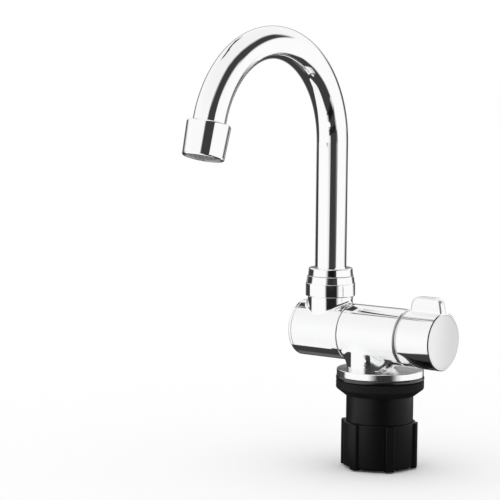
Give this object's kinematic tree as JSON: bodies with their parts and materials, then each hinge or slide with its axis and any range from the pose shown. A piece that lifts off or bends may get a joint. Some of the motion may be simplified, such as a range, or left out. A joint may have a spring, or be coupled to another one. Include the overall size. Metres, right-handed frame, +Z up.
{
  "type": "swivel mixer tap",
  "caption": "Single-hole mixer tap with a folding, swivelling gooseneck spout, barrel body with side turn knob, and a clamp nut under the deck.",
  "frame": {"origin": "centre of the shank at the level of the deck's top face, where the gasket's foot rests", "axes": "+Z up along the shank, +X along the barrel towards the turn knob, -Y the way the spout points at rest"},
  "size_m": [0.0957, 0.1518, 0.2475],
  "materials": {
    "chrome": "polished",
    "satin_metal": "satin",
    "black_plastic": "semi-matte",
    "rubber": "matte",
    "brass": "machined",
    "steel": "machined",
    "white_acetal": "matte",
    "grey_plastic": "matte",
    "ceramic": "polished"
  },
  "bodies": {
    "base": {"shank": "black_plastic", "inlet_block": "black_plastic", "inlet_inserts": "brass", "port_seals": "rubber", "body_screws": "steel", "deck_gasket": "rubber", "escutcheon_ring": "chrome", "body_casting": "chrome", "cartridge_base": "white_acetal", "cartridge_seals": "rubber", "fixed_disc": "ceramic", "cartridge_housing": "white_acetal", "cartridge_nut": "satin_metal", "fold_spigot": "brass", "fold_seals": "rubber", "thrust_washer": "rubber", "pivot_screw": "steel", "friction_washer": "steel"},
    "nut": {"clamp_nut": "black_plastic"},
    "handle": {"handle_cap": "chrome", "handle_screw": "steel", "handle_end_plate": "satin_metal", "cartridge_stem": "brass", "stem_seal": "rubber", "moving_disc": "ceramic"},
    "elbow": {"elbow": "chrome", "elbow_end_cap": "chrome", "spout_nut": "chrome", "slip_ring_lower": "white_acetal", "slip_ring_upper": "white_acetal"},
    "spout": {"spout_tube": "chrome", "spout_spigot": "brass", "spout_seals": "rubber", "spout_trim_ring": "chrome", "outlet_sleeve": "chrome", "aerator_seal": "rubber", "aerator_screen": "grey_plastic", "aerator_body": "grey_plastic", "aerator_diffuser": "grey_plastic"}
  },
  "joints": [
    {"name": "clamp_nut_travel", "type": "slide", "parent": "base", "child": "nut", "axis": [0, 0, 1], "range_m": [-0.027, 0.0144]},
    {"name": "handle_turn", "type": "hinge", "parent": "base", "child": "handle", "pos_m": [0, 0, 0.0334], "axis": [1, 0, 0], "range_deg": [0, 100]},
    {"name": "spout_fold", "type": "hinge", "parent": "base", "child": "elbow", "pos_m": [-0.0355, 0, 0.0334], "axis": [1, 0, 0], "range_deg": [-90, 90]},
    {"name": "spout_swivel", "type": "hinge", "parent": "elbow", "child": "spout", "pos_m": [-0.0355, 0, 0.06], "axis": [0, 0, 1], "continuous": true}
  ]
}
